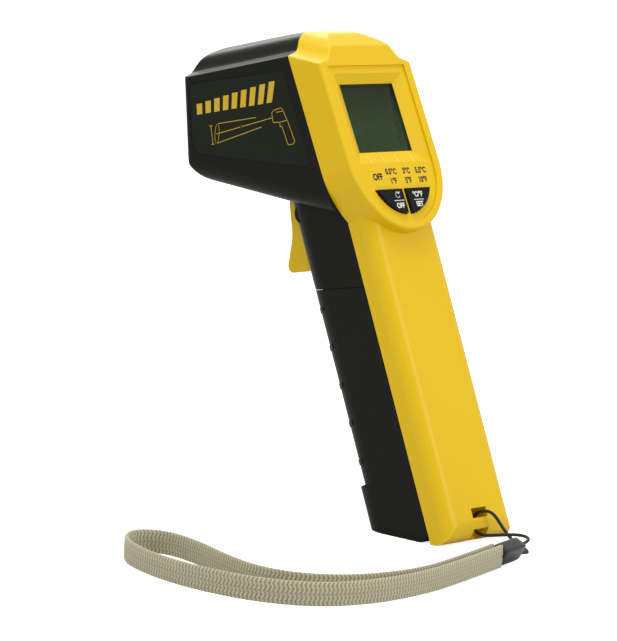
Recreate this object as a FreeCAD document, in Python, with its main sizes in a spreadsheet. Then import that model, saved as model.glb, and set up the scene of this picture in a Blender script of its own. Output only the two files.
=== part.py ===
"""Infrared thermometer with a pistol grip, as a parametric FreeCAD model in millimetres.

World frame: +X is the user's right, +Y is forward (out of the nose), +Z is up, and the foot of the
handle stands on Z = 0. Every piece is placed in one of the local frames below, each turned about X:
handle   Y runs from the handle's rear face to its front, Z up along the handle, from the foot
face     Y runs forward into the head from the display face, Z up along that face, from its top edge
seam     the plane where the two housings meet in the head, with its Z up along that plane
nose     Y is the measuring axis, pointing out of the nose, from the front face
Sizes are in the sheet. An expression names a size in plain words, and sized() turns it into a cell.
"""
import FreeCAD, Part
import math
import os
import re

import Sketcher
from FreeCAD import Vector

SIZES = {
    # overall form
    "datum_y": (-61.9, "foot's rear line, from the middle of the object"),
    "head_width": (45.8, "width of the head"),
    "handle_width": (33.5, "width of the handle"),
    "handle_depth": (33.0, "handle from rear to front, square to its axis"),
    "handle_lean": (23.7, "degrees that the handle leans back at the foot"),
    "handle_reach": (126.0, "length of handle up to where it is lost in the head"),
    "rear_edge_round": (5.0, "round along the handle's two rear edges"),
    "front_edge_round": (8.0, "round along the handle's two front edges"),
    "foot_round": (5.5, "round under the handle's rear end"),
    "lip_height": (2.0, "how far the foot's lip stands out in front"),
    "lip_top": (28.5, "height of the lip up the handle"),
    "wall": (2.2, "wall of both housings and the battery door"),
    "gap": (0.3, "gap round each moving piece"),
    "door_gap": (0.12, "gap along the battery door's upper seam"),
    "face_edge_round": (0.8, "round along the edges of the display face"),
    # head
    "face_lean": (26.5, "degrees that the display face leans"),
    "face_y": (64.4, "display face's top edge, forward of the foot's rear line"),
    "face_z": (148.7, "height of the display face's top edge"),
    "face_wall": (2.4, "wall behind the display"),
    "face_round_centre": (36.2, "from the top edge down to the centre of the rounded end"),
    "seam_depth": (12.1, "from the face forward to the housings' seam, at the top"),
    "seam_lean": (25.9, "degrees that the seam leans in the head"),
    "handle_seam": (8.9, "from the handle's rear face to the seam"),
    "kink_height": (116.7, "height up the handle where the seam turns"),
    "nose_y": (119.8, "front face, forward of the foot's rear line"),
    "nose_z": (124.0, "height of the measuring axis at the front face"),
    "axis_tilt": (8.0, "degrees that the measuring axis points down"),
    "nose_top_y": (122.8, "upper front corner, forward of the foot's rear line"),
    "nose_top_z": (144.6, "height of the upper front corner"),
    "nose_top_round": (9.0, "round of the upper front corner"),
    "nose_under_y": (117.0, "lower front corner, forward of the foot's rear line"),
    "nose_under_z": (104.4, "height of the lower front corner"),
    "nose_under_round": (12.0, "round of the lower front corner"),
    "nose_edge_round": (2.5, "round of the upright front edges"),
    "under_edge_round": (5.5, "round of the head's lower long edges"),
    "under_slope": (4.7, "degrees that the underside rises forward"),
    "under_rear_y": (66.0, "where the underside is lost in the handle"),
    "under_rear_z": (100.1, "height of the underside there"),
    "crown_front_slope": (14.4, "degrees that the top falls forward of the seam"),
    "crown_rear_slope": (5.0, "degrees that the top rises behind the seam"),
    "crown_height": (9.6, "crown above the head's side edges"),
    "crown_shoulder": (6.8, "height of the crown's shoulder"),
    "crown_half": (17.8, "half the width of the crown at its foot"),
    "crown_shoulder_half": (14.3, "half the width at the shoulder"),
    "crown_ledge": (1.5, "rise of the ledge beside the crown"),
    # display
    "shield_half": (19.2, "half the width of the sunk shield round the display"),
    "shield_top": (3.3, "from the face's top edge to the shield"),
    "shield_depth": (0.6, "depth of the shield"),
    "display_half": (13.3, "half the width of the display opening"),
    "display_top": (8.9, "from the face's top edge to the opening"),
    "display_tall": (23.2, "height of the display opening"),
    "bezel_side": (3.7, "bezel's slope at each side"),
    "bezel_top": (3.1, "bezel's slope above"),
    "bezel_under": (4.3, "bezel's slope below"),
    "window_thick": (1.0, "display window"),
    "panel_thick": (2.2, "liquid crystal panel"),
    "board_depth": (9.0, "from the face to the main board"),
    "board_thick": (1.6, "circuit boards"),
    # buttons
    "button_radius": (14.6, "round outline that both buttons share"),
    "button_centre": (39.1, "from the face's top edge to that round's centre"),
    "button_top": (45.5, "from the face's top edge to the buttons"),
    "button_split": (1.1, "half the strip between the two buttons"),
    "button_proud": (1.0, "how far a button stands out of the shield"),
    "button_flange": (0.9, "rim that keeps a button in"),
    # measuring head
    "bezel_radius": (11.0, "ring in the nose"),
    "aperture_radius": (8.0, "opening of that ring"),
    "eye_height": (3.0, "infrared lens above the nose frame's origin"),
    "tube_radius": (8.9, "outside of the sensor tube"),
    "tube_length": (34.0, "length of the sensor tube"),
    "spot_drop": (10.6, "spot lamp below the nose frame's origin"),
    "spot_radius": (1.9, "spot lamp's lens"),
    # trigger
    "trigger_half": (6.0, "half the trigger's width"),
    "pivot_depth": (27.0, "trigger's pivot, forward of the handle's rear"),
    "pivot_height": (118.0, "trigger's pivot, up the handle"),
    "pivot_radius": (1.5, "trigger pin"),
    "running_fit": (0.05, "clearance of a hole round its pin"),
    "spring_y": (64.6, "return spring, forward of the foot's rear line"),
    "spring_low": (98.6, "height of the spring's seat on the trigger"),
    "spring_high": (107.0, "height of the spring's seat under the cross bar"),
    "switch_face": (18.8, "end of the switch's plunger, forward of the handle's rear"),
    "trigger_travel": (8.0, "degrees that the trigger swings"),
    # battery bay
    "battery_wide": (26.5, "nine volt battery, width"),
    "battery_thick": (17.5, "nine volt battery, thickness"),
    "battery_tall": (46.4, "nine volt battery, height without studs"),
    "battery_height": (24.5, "battery's lower end, up the handle"),
    "tray_wall": (0.75, "side walls of the battery tray"),
    "tray_back": (1.6, "back wall of the battery tray"),
    "door_top": (88.4, "battery door's upper seam, up the handle at the rear seam"),
    "door_rise": (13.0, "degrees that this seam rises forward"),
    "hinge_round": (2.8, "door's rounded heel, about the hinge pin"),
    "hinge_pin_radius": (1.0, "hinge pin"),
    "knuckle_radius": (2.0, "knuckles round the hinge pin"),
    "rib_pitch": (12.6, "spacing of the finger ribs"),
    "rib_first": (36.1, "lowest rib, up the handle"),
    "rib_height": (0.25, "how far a rib stands out"),
    # strap
    "strap_hole_half": (3.75, "half the width of the strap hole"),
    "strap_hole_low": (9.0, "lower edge of the strap hole, up the handle"),
    "strap_hole_tall": (3.2, "height of the strap hole"),
    "strap_bar_low": (5.6, "underside of the bar below the hole"),
    "strap_bar_deep": (2.6, "thickness of that bar"),
    "strap_pocket": (6.6, "depth of the pocket behind the bar"),
    "ferrule_x": (-19.5, "middle of the ferrule"),
    "ferrule_y": (-84.1, "middle of the ferrule"),
    "ferrule_turn": (13.24, "degrees that the ferrule is turned from X"),
    "ferrule_long": (15.4, "length of the ferrule"),
    "ferrule_thick": (5.6, "thickness of the ferrule"),
    "ferrule_tall": (7.4, "height of the ferrule"),
    "band_width": (7.5, "width of the woven band, which stands on its edge"),
    "band_thick": (1.2, "thickness of the woven band"),
    "band_apart": (2.9, "between the band's two ends in the ferrule"),
    "cord_width": (1.05, "diameter of the strap's cord"),
    "cord_apart": (2.0, "between the cord's two ends in the ferrule"),
}

BOARD_SCREWS = (("-17.9", "-8"), ("17.9", "-8"), ("-17.9", "-36.5"), ("17.9", "-36.5"))
TRAY_SCREWS = ("battery_height + 8", "battery_height + 38")

NO_TURN = "create(<<rotation>>; 0; 0; 0)"
ALONG_X = "create(<<rotation>>; create(<<vector>>; 0; 1; 0); 90)"
ALONG_Y = "create(<<rotation>>; create(<<vector>>; 1; 0; 0); -90)"
SIDE_PLANE = "create(<<rotation>>; 90; 0; 90)"
FRONT_PLANE = "create(<<rotation>>; create(<<vector>>; 1; 0; 0); 90)"

doc = FreeCAD.newDocument("InfraredThermometer")
sheet = doc.addObject("Spreadsheet::Sheet", "Sizes")
sub_parts = []


def fill_sheet():
    """Put each size in a cell of its own, with its name as the alias."""
    for row, (name, (value, note)) in enumerate(SIZES.items(), 1):
        sheet.set(f"A{row}", note)
        sheet.set(f"B{row}", str(value))
        sheet.setAlias(f"B{row}", name)
    doc.recompute()


def sized(text):
    """Give an expression in which each size's name has become its cell."""
    return re.sub(r"[a-z_]+", lambda word: "Sizes." + word[0] if word[0] in SIZES else word[0], text)


def value(text):
    """Work an expression out as a plain number."""
    return float(sheet.evalExpression(sized(text)))


def turned_frame(y, z, lean):
    """Give the placement expression of a frame at (0, y, z) that leans about X."""
    turn = f"create(<<rotation>>; create(<<vector>>; 1; 0; 0); -({lean}))"
    return f"create(<<placement>>; create(<<vector>>; 0; {y}; {z}); {turn})"


WORLD = turned_frame("0", "0", "0")
FOOT = turned_frame("datum_y", "0", "0")
HANDLE = turned_frame("datum_y", "0", "handle_lean")
FACE = turned_frame("datum_y + face_y", "face_z", "face_lean")
SEAM = turned_frame("datum_y + face_y + seam_depth", "face_z - 1.1", "seam_lean")
NOSE = turned_frame("datum_y + nose_y", "nose_z", "axis_tilt")
FERRULE = ("create(<<placement>>; create(<<vector>>; ferrule_x; ferrule_y; 0);"
           " create(<<rotation>>; create(<<vector>>; 0; 0; 1); ferrule_turn))")


def place(feature, frame, x="0", y="0", z="0", turn=NO_TURN):
    """Bind a feature's placement to a point of a frame."""
    local = f"create(<<placement>>; create(<<vector>>; {x}; {y}; {z}); {turn})"
    feature.setExpression("Placement", sized(f"{frame} * {local}"))
    return feature


def where(frame, x="0", y="0", z="0"):
    """Work out a frame's point in the world, through a marker that is then removed."""
    marker = place(doc.addObject("Part::Vertex", "Marker"), frame, x, y, z)
    doc.recompute()
    point = Vector(marker.Placement.Base)
    doc.removeObject(marker.Name)
    return point


def box(name, frame, x, y, z):
    """Make a box from three (low, high) pairs of expressions."""
    feature = doc.addObject("Part::Box", name)
    for side, (low, high) in zip(("Length", "Width", "Height"), (x, y, z)):
        feature.setExpression(side, sized(f"({high}) - ({low})"))
    return place(feature, frame, x[0], y[0], z[0])


def rod(name, frame, radius, start, length, turn=NO_TURN):
    """Make a cylinder that starts at a point of the frame and runs along Z, or as turned."""
    feature = doc.addObject("Part::Cylinder", name)
    feature.setExpression("Radius", sized(radius))
    feature.setExpression("Height", sized(length))
    return place(feature, frame, *start, turn=turn)


def cut(name, base, *tools):
    """Take the tools away from the base."""
    feature = doc.addObject("Part::Cut", name)
    feature.Base = base
    feature.Tool = tools[0] if len(tools) == 1 else fuse(name + "Tools", *tools)
    return feature


def fuse(name, *shapes):
    """Join shapes into one."""
    feature = doc.addObject("Part::MultiFuse", name)
    feature.Shapes = list(shapes)
    feature.Refine = True
    return feature


def common(name, *shapes):
    """Keep what all the shapes share."""
    feature = doc.addObject("Part::MultiCommon", name)
    feature.Shapes = list(shapes)
    feature.Refine = True
    return feature


def group(name, *shapes):
    """Hold separate solids together as one piece of the list."""
    feature = doc.addObject("Part::Compound", name)
    feature.Links = list(shapes)
    return feature


def outline(name, frame, plane, corners):
    """Draw a closed outline whose corners are (across, up) or (across, up, round) expressions."""
    sketch = place(doc.addObject("Sketcher::SketchObject", name), frame, turn=plane)
    points = [Vector(value(corner[0]), value(corner[1]), 0) for corner in corners]
    count = len(points)
    for index, point in enumerate(points):
        sketch.addGeometry(Part.LineSegment(point, points[(index + 1) % count]), False)
    for index, point in enumerate(points):
        sketch.addConstraint(Sketcher.Constraint("Coincident", (index - 1) % count, 2, index, 1))
        for kind, place_of, size in (("DistanceX", 0, point.x), ("DistanceY", 1, point.y)):
            number = sketch.addConstraint(Sketcher.Constraint(kind, -1, 1, index, 1, size))
            sketch.renameConstraint(number, f"corner{index}{kind}")
            sketch.setExpression(f"Constraints.corner{index}{kind}", sized(corners[index][place_of]))
    for index, corner in enumerate(corners):
        if len(corner) == 3:
            round_corner(sketch, index, corner[2])
    return sketch


def round_corner(sketch, index, radius):
    """Round one corner of an outline with an arc whose radius is an expression."""
    sketch.fillet(index, 1, value(radius), True, True)
    arcs = [n for n, curve in enumerate(sketch.Geometry) if curve.TypeId == "Part::GeomArcOfCircle"]
    number = sketch.addConstraint(Sketcher.Constraint("Radius", arcs[-1], value(radius)))
    sketch.renameConstraint(number, f"round{index}")
    sketch.setExpression(f"Constraints.round{index}", sized(radius))


def inset(sketch, by):
    """Offset an outline inwards by an expression."""
    feature = doc.addObject("Part::Offset2D", sketch.Name + "Inset")
    feature.Source = sketch
    feature.Join = 2
    feature.setExpression("Value", sized(f"-({by})"))
    return feature


def prism(name, sketch, ahead, behind="0", direction=None):
    """Extrude an outline along its normal, or along a direction given as expressions."""
    feature = doc.addObject("Part::Extrusion", name)
    feature.Base = sketch
    feature.Solid = True
    feature.DirMode = "Normal"
    if direction:
        feature.DirMode = "Custom"
        for axis, part in zip("xyz", direction):
            feature.setExpression(f"Dir.{axis}", sized(part))
    feature.setExpression("LengthFwd", sized(ahead))
    feature.setExpression("LengthRev", sized(behind))
    return feature


def keep(feature, node):
    """Name a finished sub-part after its file."""
    feature.Label = node
    sub_parts.append(feature)
    return feature


def mirrored_corners(half):
    """Complete an outline that is symmetric about X = 0 from its right half, top to bottom."""
    left = [("-(" + corner[0] + ")",) + corner[1:] for corner in reversed(half)]
    return half + left


# ---------------------------------------------------------------- housing forms

def handle_outline(name, front, by):
    """Draw the handle's section out to a front face, drawn in by a wall or out by a rise."""
    right = [(f"handle_width / 2 - ({by})", f"{front} - ({by})", f"front_edge_round - ({by})"),
             (f"handle_width / 2 - ({by})", by, f"rear_edge_round - ({by})")]
    return outline(name, HANDLE, NO_TURN, mirrored_corners(right))


def foot_outline():
    """Draw the handle from the side, from the foot's flat base up into the head."""
    base = "tan(handle_lean)"
    front = "handle_depth + lip_height"
    return outline("FootSide", HANDLE, SIDE_PLANE, [
        ("0", "0", "foot_round"), (front, f"({front}) * {base}", "2.5"),
        (front, "lip_top - 6", "5"), ("handle_depth", "lip_top", "5"),
        ("handle_depth", "handle_reach"), ("0", "handle_reach")])


def handle_form(name, by):
    """Make the handle's solid, drawn in by a wall (or by 0 for the outside)."""
    section = handle_outline(name + "Section", "handle_depth", by)
    lip = handle_outline(name + "LipSection", "handle_depth + lip_height", by)
    side = foot_outline()
    if by != "0":
        side = inset(side, by)
    grip = prism(name + "Grip", section, "handle_reach", "10")
    toe = prism(name + "Toe", lip, "lip_top")
    across = prism(name + "Across", side, "handle_width", "handle_width")
    if by != "0":
        throat = box(name + "Throat", HANDLE, ("-handle_width / 2 + wall", "handle_width / 2 - wall"),
                     ("wall", "handle_depth - wall"), ("handle_reach - wall - 1", "handle_reach + 4"))
        return fuse(name, common(name + "Body", fuse(name + "Both", grip, toe), across), throat)
    return common(name, fuse(name + "Both", grip, toe), across)


def head_side_outline():
    """Draw the head from the side, along the middle of its crown."""
    face = "face_y"
    return outline("HeadSide", FOOT, SIDE_PLANE, [
        ("nose_under_y", "nose_under_z", "nose_under_round"),
        ("nose_top_y", "nose_top_z", "nose_top_round"),
        ("face_y + seam_depth + 10", "face_z + 4.9", "12"),
        (face + " + 10", "face_z + 7.2", "11"),
        (face + " + 3.1 * tan(face_lean)", "face_z + 3.1", "1.2"),
        (face + " - 53.7 * tan(face_lean)", "face_z - 53.7"),
        (face + " - 53.7 * tan(face_lean) + 9", "face_z - 58.2"),
        ("under_rear_y", "under_rear_z")])


def crown_outline():
    """Draw the head's section on the seam: flat sides, a ledge at each side and the raised crown."""
    right = [("crown_shoulder_half * 0.45", "crown_height", "18"),
             ("crown_shoulder_half", "crown_shoulder", "8"),
             ("crown_half", "crown_ledge", "4.5"), ("head_width / 2", "0", "0.8"),
             ("head_width / 2", "-80")]
    return outline("CrownSection", SEAM, FRONT_PLANE, mirrored_corners(right))


def under_outline():
    """Draw the head's section with its lower long edges rounded."""
    right = [("head_width / 2", "80"), ("head_width / 2", "0", "under_edge_round")]
    frame = turned_frame("datum_y + under_rear_y", "under_rear_z", "-under_slope")
    return outline("UnderSection", frame, FRONT_PLANE, mirrored_corners(right))


def plan_outline():
    """Draw the head from above, square to the measuring axis, with its front edges rounded."""
    right = [("head_width / 2", "0", "nose_edge_round"), ("head_width / 2", "-120")]
    return outline("PlanSection", NOSE, NO_TURN, mirrored_corners(right))


def shield_outline(name, half, centre, top, frame=FACE):
    """Draw a shield on the face: straight sides and a half-round lower end."""
    sketch = place(doc.addObject("Sketcher::SketchObject", name), frame, turn=FRONT_PLANE)
    width, low, high = value(half), -value(centre), -value(top)
    sketch.addGeometry(Part.LineSegment(Vector(width, low, 0), Vector(width, high, 0)), False)
    sketch.addGeometry(Part.LineSegment(Vector(width, high, 0), Vector(-width, high, 0)), False)
    sketch.addGeometry(Part.LineSegment(Vector(-width, high, 0), Vector(-width, low, 0)), False)
    end = Part.Circle(Vector(0, low, 0), Vector(0, 0, 1), width)
    sketch.addGeometry(Part.ArcOfCircle(end, math.pi, 2 * math.pi), False)
    for first, second in ((0, 1), (1, 2)):
        sketch.addConstraint(Sketcher.Constraint("Coincident", first, 2, second, 1))
    sketch.addConstraint(Sketcher.Constraint("Tangent", 2, 2, 3, 1))
    sketch.addConstraint(Sketcher.Constraint("Tangent", 3, 2, 0, 1))
    sketch.addConstraint(Sketcher.Constraint("Vertical", 0))
    sketch.addConstraint(Sketcher.Constraint("Horizontal", 1))
    for label, kind, geometry, point, expression in (
            ("half", "DistanceX", 0, 2, half), ("top", "DistanceY", 0, 2, f"-({top})"),
            ("middle", "DistanceX", 3, 3, "0"), ("centre", "DistanceY", 3, 3, f"-({centre})")):
        number = sketch.addConstraint(
            Sketcher.Constraint(kind, -1, 1, geometry, point, value(expression)))
        sketch.renameConstraint(number, label)
        sketch.setExpression("Constraints." + label, sized(expression))
    return sketch


def head_form(name, by):
    """Make the head's front and rear solids, drawn in by a wall (or by 0 for the outside)."""
    side, crown, under = head_side_outline(), crown_outline(), under_outline()
    plan = plan_outline()
    shield = shield_outline(name + "Shield", "head_width / 2", "face_round_centre", "-20")
    if by != "0":
        side, crown, under = inset(side, by), inset(crown, by), inset(under, by)
        plan, shield = inset(plan, by), inset(shield, by)
    across = prism(name + "Across", side, "head_width", "head_width")
    ahead = ("0", "cos(crown_front_slope)", "-sin(crown_front_slope)")
    back = ("0", "-cos(crown_rear_slope)", "-sin(crown_rear_slope)")
    crown_front = prism(name + "CrownFront", crown, "80", "0.5", ahead)
    crown_rear = prism(name + "CrownRear", crown, "40", "0.5", back)
    below = prism(name + "Below", under, "80", "80")
    from_above = prism(name + "FromAbove", plan, "60", "60")
    rear_end = prism(name + "RearEnd", shield, "60", "60")
    front = common(name + "Front", across, crown_front, below, from_above)
    rear = common(name + "Rear", across, crown_rear, rear_end)
    return front, rear


def softened(name, form):
    """Round a form's edges that lie on the display face."""
    doc.recompute()
    marker = place(doc.addObject("Part::Vertex", name + "Frame"), FACE)
    doc.recompute()
    to_face = marker.Placement.inverse()
    doc.removeObject(marker.Name)
    radius = value("face_edge_round")
    numbers = [number for number, edge in enumerate(form.Shape.Edges, 1)
               if all(abs(to_face.multVec(point).y) < 0.01 for point in edge.discretize(5))
               and to_face.multVec(edge.CenterOfMass).z < -1]
    feature = doc.addObject("Part::Fillet", name)
    feature.Base = form
    feature.Edges = [(number, radius, radius) for number in numbers]
    return feature


def behind_seam(name, sideways):
    """Make the block of space that lies behind the housings' seam."""
    rise = "60"
    region = outline(name + "Side", HANDLE, SIDE_PLANE, [
        ("handle_seam", "-30"), ("handle_seam", "kink_height"),
        (f"handle_seam + {rise} * tan(seam_lean - handle_lean)", f"kink_height + {rise}"),
        ("-90", f"kink_height + {rise}"), ("-90", "-30")])
    return prism(name, region, sideways, sideways)


def below_door_seam(name, back, drop, *heel):
    """Make the space of the battery door, drawn in from its two seams, with a rounded heel if asked."""
    edge = f"handle_seam + ({back})"
    top = f"door_top - ({drop})"
    slope = "tan(door_rise)"
    base = "tan(handle_lean)"
    region = outline(name + "Side", HANDLE, SIDE_PLANE, [
        (edge, f"({edge}) * {base}", *heel), (edge, top),
        ("handle_seam + 60", f"{top} + 60 * {slope}"),
        ("handle_seam + 60", f"(handle_seam + 60) * {base}")])
    return prism(name, region, "handle_width", "handle_width")


# ---------------------------------------------------------------- battery door and its hinge

HINGE = ("0", "handle_seam + gap + hinge_round",
         "hinge_round / cos(handle_lean) + (handle_seam + gap + hinge_round) * tan(handle_lean)")


def hinge_rod(name, radius, low, high):
    """Make a round piece on the hinge's axis between two places across the handle."""
    return rod(name, HANDLE, radius, (low, HINGE[1], HINGE[2]), f"({high}) - ({low})", ALONG_X)


def battery_door(outer, inner):
    """Make the door: the front of the handle's lower part, with finger ribs and two knuckles."""
    space = below_door_seam("DoorSpace", "gap", "door_gap", "hinge_round")
    shell = common("DoorShell", cut("GripWalls", outer, inner), space)
    ribs = []
    section = handle_outline("RibSection", "handle_depth", "-rib_height")
    for number in range(5):
        height = f"rib_first + {number} * rib_pitch"
        slab = prism(f"RibSlab{number}", section, f"({height}) + 0.8", f"-({height}) + 0.8")
        reach = box(f"RibReach{number}", HANDLE, ("-handle_width", "handle_width"),
                    ("handle_depth - 5", "handle_depth + 2"),
                    (f"({height}) - 2", f"({height}) + 2"))
        core = box(f"RibCore{number}", HANDLE,
                   ("-handle_width / 2 + wall + 0.4", "handle_width / 2 - wall - 0.4"),
                   ("0", "handle_depth - wall"), (f"({height}) - 3", f"({height}) + 3"))
        ribs.append(cut(f"Rib{number}", common(f"RibBand{number}", slab, reach), core))
    knuckles = []
    for side, (low, high) in (("Left", ("-handle_width / 2 + 1", "-6.6")),
                              ("Right", ("6.6", "handle_width / 2 - 1"))):
        knuckles.append(hinge_rod("Knuckle" + side, "knuckle_radius", low, high))
    solid = fuse("DoorSolid", shell, *ribs, *knuckles)
    bore = hinge_rod("DoorBore", "hinge_pin_radius + running_fit", "-14", "14")
    lug_room = box("LugRoom", HANDLE, ("-6.3", "6.3"),
                   ("handle_seam", "handle_seam + gap + 2 * hinge_round + 0.3"),
                   ("0", HINGE[2] + " + knuckle_radius + 0.6"))
    keep(cut("BatteryDoor", solid, bore, lug_room), "battery_door")
    keep(hinge_rod("DoorPin", "hinge_pin_radius", "-13.8", "13.8"), "door_hinge_pin")


def battery_tray():
    """Make the tray that holds the battery and the hinge pin, open towards the door."""
    half = "battery_wide / 2 + 0.2"
    back = "handle_seam + 0.1"
    bed = f"{back} + tray_back"
    low = "battery_height - 0.3"
    high = "battery_height + battery_tall + 8"
    block = box("TrayBlock", HANDLE, (f"-({half}) - tray_wall", f"{half} + tray_wall"),
                (back, f"{bed} + battery_thick * 0.8"), (f"{low} - 1.2", f"{high} + 1.2"))
    bay = box("TrayBay", HANDLE, (f"-({half})", half),
              (bed, f"{bed} + battery_thick"), (low, high))
    wire_slot = box("TrayWireSlot", HANDLE, ("-10.6", "10.6"),
                    (f"{bed} + 3", f"{bed} + battery_thick"), (high, f"{high} + 2"))
    web = box("TrayWeb", HANDLE, ("-6", "6"), (back, bed), (HINGE[2], low))
    lug = hinge_rod("TrayLug", "knuckle_radius", "-6", "6")
    arm = box("TrayArm", HANDLE, ("-6", "6"), (back, HINGE[1]),
              (HINGE[2] + " - 0.6", HINGE[2] + " + knuckle_radius"))
    bore = hinge_rod("TrayBore", "hinge_pin_radius", "-7", "7")
    holes = []
    for n, height in enumerate(TRAY_SCREWS):
        holes.append(rod(f"TrayHole{n}", HANDLE, "1.0", ("0", back, height), "3", ALONG_Y))
        holes.append(rod(f"TraySink{n}", HANDLE, "1.4", ("0", f"{bed} - 0.6", height), "2", ALONG_Y))
    body = fuse("TrayBody", cut("TrayShell", block, bay, wire_slot), web, lug, arm)
    keep(cut("BatteryTray", body, bore, *holes), "battery_tray")


def battery_and_leads():
    """Make the battery, its snap connector and the two wires that run up to the main board."""
    bed = "handle_seam + 0.2 + tray_back"
    half = "battery_wide / 2"
    case = box("BatteryCase", HANDLE, (f"-({half})", half), (bed, f"{bed} + battery_thick"),
               ("battery_height", "battery_height + battery_tall"))
    middle = f"{bed} + battery_thick / 2"
    studs = [rod(f"Stud{n}", HANDLE, radius, (x, middle, "battery_height + battery_tall"), "2")
             for n, (radius, x) in enumerate((("2.9", "-6.35"), ("2.7", "6.35")))]
    keep(fuse("Battery", case, *studs), "battery")
    top = "battery_height + battery_tall"
    plate = box("SnapPlate", HANDLE, ("-12.7", "12.7"),
                (f"{middle} - 6.2", f"{middle} + 6.2"), (f"{top} + 0.05", f"{top} + 4.2"))
    sockets = [rod(f"Socket{n}", HANDLE, radius, (x, middle, top), "2.1")
               for n, (radius, x) in enumerate((("2.95", "-6.35"), ("2.75", "6.35")))]
    keep(cut("BatterySnap", plate, *sockets), "battery_snap")
    leads = []
    for side in (-1, 1):
        start = where(HANDLE, f"{side} * 9", middle, f"{top} + 4.2")
        rise = where(HANDLE, f"{side} * 9", middle, "door_top - 5")
        bend = where(HANDLE, f"{side} * 10", "handle_seam", "door_top + 5")
        reach = where(FACE, f"{side} * 9", "board_depth + board_thick + 4", "-43")
        end = where(FACE, f"{side} * 9", "board_depth + board_thick", "-43")
        route = [start, rise, bend, reach, end]
        leads.append(tube(f"Lead{side + 1}", route, 0.6, "battery lead"))
    keep(group("BatteryLeads", *leads), "battery_leads")


# ---------------------------------------------------------------- round cords and the flat band

def rounded_path(points, label):
    """Make straight runs joined by tangent arcs, each as large as its two runs allow."""
    edges = []
    radii = []
    last = points[0]
    for before, corner, after in zip(points, points[1:], points[2:]):
        back = (before - corner).normalize()
        ahead = (after - corner).normalize()
        half_turn = (math.pi - back.getAngle(ahead)) / 2
        reach = 0.45 * min((before - corner).Length, (after - corner).Length)
        radii.append(reach / math.tan(half_turn))
        into = corner + back * reach
        out = corner + ahead * reach
        to_middle = radii[-1] / math.cos(half_turn) - radii[-1]
        middle = corner + (back + ahead).normalize() * to_middle
        edges.append(Part.LineSegment(last, into).toShape())
        edges.append(Part.Arc(into, middle, out).toShape())
        last = out
    edges.append(Part.LineSegment(last, points[-1]).toShape())
    print(label, "radii", [round(radius, 1) for radius in radii])
    return Part.Wire(edges)


def tube(name, points, radius, label):
    """Sweep a round section along a rounded path, and compare its volume with the path's length."""
    path = rounded_path(points, label)
    circle = Part.Circle(points[0], points[1] - points[0], radius).toShape()
    solid = path.makePipeShell([Part.Wire([circle])], True, True)
    expected = math.pi * radius ** 2 * path.Length
    print(label, "length", round(path.Length, 1), "volume ratio", round(solid.Volume / expected, 4))
    feature = doc.addObject("Part::Feature", name)
    feature.Shape = solid
    return feature


def band(name, points, thick, width, label):
    """Make a flat band that stands on its edge along a rounded level path."""
    path = rounded_path(points, label)
    print(label, "length", round(path.Length, 1))
    rim = points[0] - points[1]
    across = Vector(-rim.y, rim.x, 0).normalize() * thick / 2
    section = Part.makePolygon([points[0] + across + Vector(0, 0, -width / 2),
                                points[0] + across + Vector(0, 0, width / 2),
                                points[0] - across + Vector(0, 0, width / 2),
                                points[0] - across + Vector(0, 0, -width / 2),
                                points[0] + across + Vector(0, 0, -width / 2)])
    solid = path.makePipeShell([section], True, True)
    print(label, "volume ratio", round(solid.Volume / (thick * width * path.Length), 4))
    feature = doc.addObject("Part::Feature", name)
    feature.Shape = solid
    return feature


def strap():
    """Make the wrist strap: cord through the handle's hole, ferrule and doubled woven band."""
    body = box("FerruleBody", FERRULE, ("-ferrule_long / 2", "ferrule_long / 2"),
               ("-ferrule_thick / 2", "ferrule_thick / 2"), ("0", "ferrule_tall"))
    keep(body, "strap_ferrule")
    cord_end = "ferrule_long / 2"
    cord_middle = "ferrule_tall / 2 - 0.3"
    first = where(FERRULE, cord_end, "0", f"{cord_middle} + cord_apart / 2")
    last = where(FERRULE, cord_end, "0", f"{cord_middle} - cord_apart / 2")
    cord_points = [
        first, Vector(-5.0, -81.3, 5.0), Vector(1.5, -76.5, 4.9), Vector(3.8, -70.5, 4.4),
        Vector(2.6, -65.0, 3.4), Vector(0.6, -60.6, 2.6), Vector(0.2, -56.6, 2.8),
        Vector(0.9, -54.1, 7.6), Vector(1.6, -57.8, 10.3), Vector(2.8, -61.2, 9.8),
        Vector(4.3, -64.0, 5.4), Vector(4.6, -68.5, 1.6), Vector(2.5, -74.5, 0.8),
        Vector(-1.5, -79.0, 0.9), Vector(-6.6, -81.5, 1.8), last]
    keep(tube("StrapCord", cord_points, value("cord_width / 2"), "strap cord"), "strap_cord")
    band_end = "-ferrule_long / 2"
    start = where(FERRULE, band_end, "-band_apart / 2", "band_width / 2 + 0.3")
    finish = where(FERRULE, band_end, "band_apart / 2", "band_width / 2 + 0.3")
    level = start.z
    band_points = [start] + [Vector(x, y, level) for x, y in (
        (-49.9, -93.0), (-77.0, -98.6), (-102.0, -98.5), (-119.5, -91.5), (-129.5, -76.0),
        (-132.0, -54.0), (-128.5, -33.5), (-121.0, -17.5), (-109.5, -9.5), (-101.5, -16.5),
        (-104.5, -32.5), (-112.0, -50.5), (-116.5, -67.0), (-112.5, -81.5), (-99.5, -91.5),
        (-76.5, -95.4), (-49.2, -89.9))] + [finish]
    thick, width = value("band_thick"), value("band_width")
    keep(band("StrapBand", band_points, thick, width, "strap band"), "strap_band")


# ---------------------------------------------------------------- the two housings

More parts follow.
